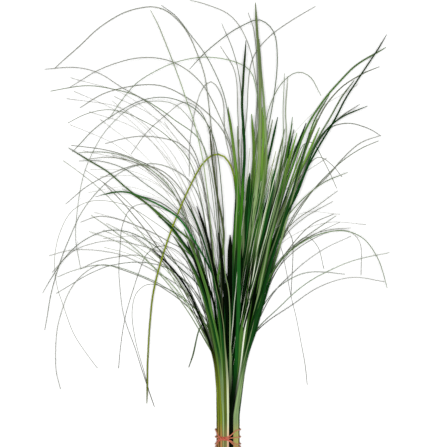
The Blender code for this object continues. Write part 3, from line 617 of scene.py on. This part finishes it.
def centre_line(leaf, samples):
    """The leaf's middle line in mm, its underside's height given by its place within its layer."""
    root, layer = leaf["root"], leaf["layer"]
    plan = [Vector((root, leaf["butt"], 0.0)), Vector((root, NECK_TOP - 8.0, 0.0))]
    x, y = leaf["points"][0]
    if y > THROAT + 45.0:
        lean = max(-THROAT_LEFT, min(THROAT_RIGHT, x / (y - 10.0) * (THROAT - 10.0)))
        plan.append(Vector((0.35 * root + 0.65 * lean, THROAT, 0.0)))
    plan += [Vector((x, y, 0.0)) for x, y in leaf["points"]]
    curve = [plan[0]] + through(plan[1:], samples)
    low_row = (0.15 + ROW_PITCH * leaf["row"]) / LAYER_PITCH
    total = sum((b - a).length for a, b in zip(curve, curve[1:]))
    done = 0.0
    line = []
    for i, point in enumerate(curve):
        if i:
            done += (point - curve[i - 1]).length
        far = away(point.x, point.y)
        free = eased(far, 10.0, 200.0)
        bottom = layer_floor(layer, point.x, point.y)
        room = layer_floor(layer + 1, point.x, point.y) - bottom
        spare = 0.15 + 2.3 * eased(far, 25.0, 170.0)
        share = leaf["height"] + leaf["sway"] * eased(far, 120.0, 300.0) * math.sin(2.6 * done / total)
        if leaf["lying"]:
            z = bottom + low_row * LAYER_PITCH * (1.0 - eased(far, 15.0, 130.0)) + leaf["height"]
        else:
            inside = spare + min(1.0, max(0.0, share)) * (room - 2.0 * spare - thickness_at(far))
            z = bottom + (1.0 - free) * low_row * LAYER_PITCH + free * inside
        line.append(Vector((point.x, point.y, z)))
    return line


def spaced_evenly(line, count):
    """The line's own shape with a fixed count of points, all the same distance apart."""
    lengths = [0.0]
    for a, b in zip(line, line[1:]):
        lengths.append(lengths[-1] + (b - a).length)
    made = []
    k = 0
    for i in range(count):
        want = lengths[-1] * i / (count - 1)
        while k < len(line) - 2 and lengths[k + 1] < want:
            k += 1
        share = (want - lengths[k]) / (lengths[k + 1] - lengths[k])
        made.append(line[k].lerp(line[k + 1], min(1.0, share)))
    return made, lengths[-1]


def neck_tones(leaf):
    """The names of a leaf's tone over the neck and of the one at its base. One leaf shows the pale strand."""
    if leaf["layer"] < 2:
        return "moss", "tan"
    neck, base = next(names for reach, *names in NECK_STRANDS if leaf["root"] < reach)
    # The other leaves at the pale strand's root get painted shade over the neck.
    if neck == "cream" and (leaf["layer"], leaf["row"]) != (5, 2):
        neck = "shade"
    return neck, base


def blade_colour(leaf, settings, along, share):
    """Tan at the cut end, the strand's own colour over the neck, the blade's beyond it, drier at the tip."""
    neck, base = (tuple(getattr(settings, name)) for name in neck_tones(leaf))
    lower, *upper = (tuple(getattr(settings, name)) for name in leaf["tone"].split("/"))
    blade = lower
    for tone, (low, high) in zip(upper, TONE_CHANGES):
        blade = blended(blade, tone, eased(along, low, high))
    blade = tuple(value * leaf["lightness"] for value in blade)
    colour = blended(neck, blade, eased(along, 55.0, 150.0))
    colour = blended(colour, base, 0.85 * (1.0 - eased(along, -8.0, 30.0)))
    dry = 0.08 if leaf["tone"].startswith("shade") else 0.45
    return blended(colour, tuple(settings.tip), dry * eased(share, 0.72, 1.0))


def in_the_shade(leaf, x, y):
    """How much light reaches a leaf: less, the deeper it lies in the middle of the bunch."""
    dense = eased(y, 100.0, 170.0) * (1.0 - eased(y, 360.0, 520.0))
    dense *= 1.0 - eased(abs(x - 0.09 * y), 35.0, 100.0)
    return 1.0 - 0.75 * dense * (1.0 - leaf["layer"] / 5.0) ** 0.7


def add_leaf(bm, leaf, settings):
    """One leaf: a flat grid bent along the leaf's line and over its keel, then given its thickness."""
    uv = bm.loops.layers.uv["leaf"]
    tint = bm.verts.layers.float_color["tint"]
    stations = settings.stations
    sheet = 1000.0 * settings.thickness
    line, length = spaced_evenly(centre_line(leaf, SPAN_SAMPLES), stations + 1)
    made = bmesh.ops.create_grid(bm, x_segments=ACROSS, y_segments=stations, size=1.0, calc_uvs=True)
    grid = made["verts"]
    faces = list(dict.fromkeys(face for vert in grid for face in vert.link_faces))
    for face in faces:
        face.smooth = True
        for loop in face.loops:
            loop[uv].uv = (loop[uv].uv.x, loop[uv].uv.y * length * MM + leaf["number"])
    for i, point in enumerate(line):
        along = (line[min(i + 1, stations)] - line[max(i - 1, 0)]).normalized()
        side = Vector((along.y, -along.x, 0.0)).normalized()
        up = side.cross(along)
        far = away(point.x, point.y)
        share = i / stations
        grow = eased(far, 15.0, 150.0)
        root_width = ROOT_WIDTH * leaf["swell"]
        free = leaf["width"] * settings.slim * leaf["slim"] * (0.64 + 0.36 * eased(leaf["width"], 2.3, 3.4))
        width = root_width + (free - root_width) * grow
        taper = 0.22 + 0.36 * eased(leaf["width"], 2.6, 5.5) * eased(length, 380.0, 560.0)
        # Blades with the painted-shade tone keep their width, so that the dark gaps they stand for stay
        # filled.
        if leaf["tone"].startswith("shade"):
            taper *= 0.4
        width *= 1.0 - taper * grow * share**1.6
        width = 0.8 + (width - 0.8) * eased(length * (1.0 - share), -8.0, 30.0)
        turn = math.radians(leaf["lean"]) * (1.0 - grow)
        turn += math.radians(leaf["roll"]) * eased(far, 60.0, 260.0)
        turn += settings.twist * leaf["spin"] * eased(far, 90.0, 330.0) * math.sin(9.0 * share + leaf["wave"])
        if leaf["lying"]:
            turn = 0.0
        across = side * math.cos(turn) + up * math.sin(turn)
        over = up * math.cos(turn) - side * math.sin(turn)
        wander = noise.noise_vector(Vector((leaf["wave"], length * share / 45.0, 0.0))) * grow
        middle = point + side * wander.x * 0.9 + up * (sheet + 0.35 * abs(wander.y))
        height = max(0.25, settings.keel * width)
        if grow < 1.0:
            height = max(height, (1.0 - grow) * (ROOT_THICK - sheet))
        colour = blade_colour(leaf, settings, length * share + BUTT, share)
        dim = in_the_shade(leaf, point.x, point.y)
        pale = leaf["pallor"] * eased(far, 150.0, 420.0) * (1.0 - eased(leaf["width"], 2.6, 3.2))
        colour = blended([value * dim for value in colour], tuple(settings.faded), pale)
        for k in range(ACROSS + 1):
            vert = grid[i * (ACROSS + 1) + k]
            place = 2.0 * k / ACROSS - 1.0
            arch = height * (1.0 - abs(place) ** 1.35)
            vert.co = placed(middle + across * place * width / 2.0 + over * arch)
            vert[tint] = (*colour, 1.0)
    bm.normal_update()
    bmesh.ops.solidify(bm, geom=faces, thickness=settings.thickness)


def new_material(name):
    material = bpy.data.materials.new(name)
    material.use_nodes = True
    nodes, links = material.node_tree.nodes, material.node_tree.links
    return material, nodes, links, nodes["Principled BSDF"]


def tint_attribute(nodes):
    tint = nodes.new("ShaderNodeAttribute")
    tint.attribute_name = "tint"
    return tint.outputs["Color"]


def ranged(nodes, links, value, source, target):
    """The value carried over from the source range to the target range."""
    made = nodes.new("ShaderNodeMapRange")
    for name, number in zip(("From Min", "From Max", "To Min", "To Max"), (*source, *target)):
        made.inputs[name].default_value = number
    links.new(value, made.inputs["Value"])
    return made.outputs["Result"]


def add_bump(nodes, links, shader, height, strength, distance):
    bump = nodes.new("ShaderNodeBump")
    bump.inputs["Strength"].default_value = strength
    bump.inputs["Distance"].default_value = distance
    links.new(height, bump.inputs["Height"])
    links.new(bump.outputs["Normal"], shader.inputs["Normal"])


def leaf_material():
    """Waxy green leaf: fine veins along it, a painted highlight along the keel with painted shade towards the
    rims, mottling, and a roughness that follows the veins.
    """
    material, nodes, links, shader = new_material("bear grass leaf")
    where = nodes.new("ShaderNodeUVMap")
    where.uv_map = "leaf"
    sides = nodes.new("ShaderNodeSeparateXYZ")
    links.new(where.outputs["UV"], sides.inputs["Vector"])
    # Brightness across the leaf: a painted highlight along the keel, darker lines beside it and painted shade
    # at the rims.
    across = nodes.new("ShaderNodeFloatCurve")
    points = across.mapping.curves[0].points
    for place, height in ((0.16, 0.95), (0.34, 0.72), (0.5, 1.0), (0.66, 0.74), (0.84, 0.9)):
        points.new(place, height)
    points[0].location = (0.0, 0.22)
    points[-1].location = (1.0, 0.22)
    across.mapping.update()
    links.new(sides.outputs["X"], across.inputs["Value"])
    stretch = nodes.new("ShaderNodeMapping")
    stretch.inputs["Scale"].default_value = (7.0, 11.0, 1.0)
    links.new(where.outputs["UV"], stretch.inputs["Vector"])
    veins = nodes.new("ShaderNodeTexNoise")
    veins.inputs["Scale"].default_value = 1.0
    veins.inputs["Detail"].default_value = 3.0
    links.new(stretch.outputs["Vector"], veins.inputs["Vector"])
    tint_with_veins_and_painted_keel = nodes.new("ShaderNodeVectorMath")
    tint_with_veins_and_painted_keel.operation = "SCALE"
    links.new(tint_attribute(nodes), tint_with_veins_and_painted_keel.inputs[0])
    vein_and_painted_keel_light = nodes.new("ShaderNodeMath")
    vein_and_painted_keel_light.operation = "MULTIPLY"
    links.new(ranged(nodes, links, veins.outputs["Fac"], (0.3, 0.7), (0.42, 1.5)), vein_and_painted_keel_light.inputs[0])
    links.new(across.outputs["Value"], vein_and_painted_keel_light.inputs[1])
    links.new(vein_and_painted_keel_light.outputs["Value"], tint_with_veins_and_painted_keel.inputs["Scale"])
    mottle = nodes.new("ShaderNodeTexNoise")
    mottle.inputs["Scale"].default_value = 26.0
    mottle.inputs["Detail"].default_value = 2.0
    links.new(where.outputs["UV"], mottle.inputs["Vector"])
    yellowed = nodes.new("ShaderNodeVectorMath")
    yellowed.operation = "MULTIPLY_ADD"
    yellowed.inputs[1].default_value = (1.9, 1.35, 0.7)
    yellowed.inputs[2].default_value = (0.006, 0.005, 0.001)
    links.new(tint_with_veins_and_painted_keel.outputs["Vector"], yellowed.inputs[0])
    mixed = nodes.new("ShaderNodeMix")
    mixed.data_type = "RGBA"
    dry = ranged(nodes, links, mottle.outputs["Fac"], (0.56, 0.78), (0.0, 0.7))
    links.new(dry, mixed.inputs["Factor"])
    links.new(tint_with_veins_and_painted_keel.outputs["Vector"], mixed.inputs["A"])
    links.new(yellowed.outputs["Vector"], mixed.inputs["B"])
    links.new(mixed.outputs["Result"], shader.inputs["Base Color"])
    rough = ranged(nodes, links, veins.outputs["Fac"], (0.0, 1.0), (0.34, 0.62))
    links.new(rough, shader.inputs["Roughness"])
    shader.inputs["Specular IOR Level"].default_value = 0.9
    links.new(tint_with_veins_and_painted_keel.outputs["Vector"], shader.inputs["Specular Tint"])
    add_bump(nodes, links, shader, veins.outputs["Fac"], 0.35, 0.0002)
    return material


def piece_from(name, bm, material, node):
    """A finished piece at the origin that stands for one node of the model."""
    mesh = bpy.data.meshes.new(name)
    bm.to_mesh(mesh)
    bm.free()
    mesh.materials.append(material)
    made = bpy.data.objects.new(name, mesh)
    bpy.context.scene.collection.objects.link(made)
    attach(made, "root")
    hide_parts(node)
    return made


class BEARGRASS_OT_leaves(bpy.types.Operator):
    """Add the six layers of leaves over the model's own"""

    bl_idname = "beargrass.leaves"
    bl_label = "Add Leaves"

    def execute(self, context):
        settings = context.scene.bear_grass_leaves
        material = leaf_material()
        leaves = all_leaves() + finer_leaves(settings)
        noise.seed_set(WANDER_SEED)
        for layer, node in enumerate(LAYER_NODES):
            bm = bmesh.new()
            bm.loops.layers.uv.new("leaf")
            bm.verts.layers.float_color.new("tint")
            for leaf in leaves:
                if leaf["layer"] == layer:
                    add_leaf(bm, leaf, settings)
            made = piece_from(f"leaves_{layer + 1}", bm, material, node)
            made.data.set_sharp_from_angle(angle=math.radians(62.0))
        return {"FINISHED"}


def band_line():
    """The band's middle line: four turns spread along the neck, drawn together and twisted at one place."""
    line = []
    steps = 150
    for turn in range(BAND_TURNS):
        for step in range(steps):
            degrees = -160.0 + 360.0 * step / steps
            near = abs(degrees - BAND_PINCH)
            spread = 2.3 + 12.7 * eased(near, 9.0, 66.0)
            pile = 2.1 * (1.0 - eased(near, 20.0, 52.0))
            twist = min(1.0, max(0.0, (degrees - BAND_PINCH + 17.0) / 34.0))
            phase = math.radians(22.5 + 270.0 * (turn + twist))
            along = BAND_ALONG + spread * (math.cos(phase) - 0.35 * math.sin(phase) ** 2)
            radius = BAND_RADIUS + pile * (1.0 + math.sin(phase))
            angle = math.radians(degrees)
            line.append(Vector((radius * math.sin(angle), along, BAND_MIDDLE + radius * math.cos(angle))))
    return line


def band_material():
    """Rubber: dull, slightly speckled, salmon where the turns pile up and tan where they part."""
    material, nodes, links, shader = new_material("rubber band")
    where = nodes.new("ShaderNodeTexCoord")
    speckle = nodes.new("ShaderNodeTexNoise")
    speckle.inputs["Scale"].default_value = 900.0
    speckle.inputs["Detail"].default_value = 4.0
    links.new(where.outputs["Object"], speckle.inputs["Vector"])
    mixed = nodes.new("ShaderNodeVectorMath")
    mixed.operation = "SCALE"
    links.new(tint_attribute(nodes), mixed.inputs[0])
    light = ranged(nodes, links, speckle.outputs["Fac"], (0.3, 0.7), (0.7, 1.2))
    links.new(light, mixed.inputs["Scale"])
    links.new(mixed.outputs["Vector"], shader.inputs["Base Color"])
    shader.inputs["Roughness"].default_value = 0.5
    shader.inputs["Specular IOR Level"].default_value = 0.2
    add_bump(nodes, links, shader, speckle.outputs["Fac"], 0.3, 0.0001)
    return material


class BEARGRASS_OT_band(bpy.types.Operator):
    """Add the rubber band that holds the neck"""

    bl_idname = "beargrass.band"
    bl_label = "Add Band"

    def execute(self, context):
        settings = context.scene.bear_grass_band
        curve = bpy.data.curves.new("band_line", "CURVE")
        curve.dimensions = "3D"
        curve.bevel_depth = settings.thickness
        curve.bevel_resolution = 3
        line = band_line()
        spline = curve.splines.new("POLY")
        spline.points.add(len(line) - 1)
        for knot, point in zip(spline.points, line):
            knot.co = (*placed(point), 1.0)
        spline.use_cyclic_u = True
        guide = bpy.data.objects.new("band_line", curve)
        context.scene.collection.objects.link(guide)
        context.view_layer.update()
        graph = context.evaluated_depsgraph_get()
        tube = bpy.data.meshes.new_from_object(guide.evaluated_get(graph))
        bpy.data.objects.remove(guide, do_unlink=True)
        bm = bmesh.new()
        bm.from_mesh(tube)
        bmesh.ops.remove_doubles(bm, verts=bm.verts, dist=0.00001)
        bmesh.ops.recalc_face_normals(bm, faces=bm.faces)
        tint = bm.verts.layers.float_color.new("tint")
        for vert in bm.verts:
            x = vert.co.x / MM - NECK_X
            z = vert.co.z / MM - BAND_MIDDLE
            degrees = math.degrees(math.atan2(x, z))
            piled = 1.0 - eased(abs(degrees - BAND_PINCH), 14.0, 46.0)
            vert[tint] = (*blended(tuple(settings.tan), tuple(settings.salmon), piled), 1.0)
        for face in bm.faces:
            face.smooth = True
        piece_from("rubber_band", bm, band_material(), BAND_NODE)
        return {"FINISHED"}


def floor_material(whiteness):
    """Matt white table with a trace of unevenness."""
    material, nodes, links, shader = new_material("white table")
    where = nodes.new("ShaderNodeTexCoord")
    paper = nodes.new("ShaderNodeTexNoise")
    paper.inputs["Scale"].default_value = 3.0
    links.new(where.outputs["Object"], paper.inputs["Vector"])
    ramp = nodes.new("ShaderNodeValToRGB")
    ramp.color_ramp.elements[0].color = (whiteness * 0.985,) * 3 + (1.0,)
    ramp.color_ramp.elements[1].color = (whiteness,) * 3 + (1.0,)
    links.new(paper.outputs["Fac"], ramp.inputs["Fac"])
    links.new(ramp.outputs["Color"], shader.inputs["Base Color"])
    shader.inputs["Roughness"].default_value = 0.9
    shader.inputs["Specular IOR Level"].default_value = 0.1
    return material


def lamp(name, place, aim, size, power):
    light = bpy.data.lights.new(name, "AREA")
    light.shape = "DISK"
    light.size = size
    light.energy = power
    made = bpy.data.objects.new(name, light)
    made.location = place
    made.rotation_euler = (Vector(aim) - Vector(place)).to_track_quat("-Z", "Y").to_euler()
    bpy.context.scene.collection.objects.link(made)


class BEARGRASS_OT_stage(bpy.types.Operator):
    """Add the white table, the large lamp and the camera straight above"""

    bl_idname = "beargrass.stage"
    bl_label = "Add Stage"

    def execute(self, context):
        settings = context.scene.bear_grass_stage
        bm = bmesh.new()
        half, drop = 4.0, 0.0006  # the drop keeps the table clear of the lowest leaves
        bmesh.ops.create_grid(bm, x_segments=8, y_segments=8, size=half)
        bmesh.ops.translate(bm, verts=bm.verts, vec=(0.0, 0.0, -drop))
        mesh = bpy.data.meshes.new("table")
        bm.to_mesh(mesh)
        bm.free()
        mesh.materials.append(floor_material(settings.floor))
        table = bpy.data.objects.new("table", mesh)
        context.scene.collection.objects.link(table)
        world = bpy.data.worlds.new("white room")
        world.use_nodes = True
        world.node_tree.nodes["Background"].inputs["Color"].default_value = (1.0, 1.0, 1.0, 1.0)
        world.node_tree.nodes["Background"].inputs["Strength"].default_value = settings.sky
        context.scene.world = world
        lamp("key", (0.01, 0.02, 4.6), (0.01, 0.02, 0.0), 0.5, settings.key)
        camera = bpy.data.cameras.new("camera")
        middle_height = 0.05
        camera.lens = camera.sensor_width * (settings.camera_height - middle_height) / settings.view_width
        camera.clip_end = 20.0
        made = bpy.data.objects.new("camera", camera)
        across, along = -7.3, 344.3  # the middle of the view, in mm from the neck
        made.location = ((across + NECK_X) * MM, (along + NECK_Y) * MM, settings.camera_height)
        context.scene.collection.objects.link(made)
        context.scene.camera = made
        context.scene.view_settings.view_transform = "Standard"
        return {"FINISHED"}


class BEARGRASS_PT_panel(bpy.types.Panel):
    bl_label = "Bear Grass"
    bl_idname = "BEARGRASS_PT_panel"
    bl_space_type = "VIEW_3D"
    bl_region_type = "UI"
    bl_category = "Bear Grass"

    def draw(self, context):
        layout = self.layout
        scene = context.scene
        for settings in (scene.bear_grass_leaves, scene.bear_grass_band, scene.bear_grass_stage):
            for name in settings.__annotations__:
                layout.prop(settings, name)
        for operator in (BEARGRASS_OT_leaves, BEARGRASS_OT_band, BEARGRASS_OT_stage):
            layout.operator(operator.bl_idname)


CLASSES = (
    BearGrassLeafSettings,
    BearGrassBandSettings,
    BearGrassStageSettings,
    BEARGRASS_OT_leaves,
    BEARGRASS_OT_band,
    BEARGRASS_OT_stage,
    BEARGRASS_PT_panel,
)


def register():
    for item in CLASSES:
        bpy.utils.register_class(item)
    bpy.types.Scene.bear_grass_leaves = PointerProperty(type=BearGrassLeafSettings)
    bpy.types.Scene.bear_grass_band = PointerProperty(type=BearGrassBandSettings)
    bpy.types.Scene.bear_grass_stage = PointerProperty(type=BearGrassStageSettings)


def unregister():
    del bpy.types.Scene.bear_grass_stage
    del bpy.types.Scene.bear_grass_band
    del bpy.types.Scene.bear_grass_leaves
    for item in reversed(CLASSES):
        bpy.utils.unregister_class(item)


def main():
    register()
    bpy.ops.beargrass.leaves()
    bpy.ops.beargrass.band()
    bpy.ops.beargrass.stage()


if __name__ == "__main__":
    main()
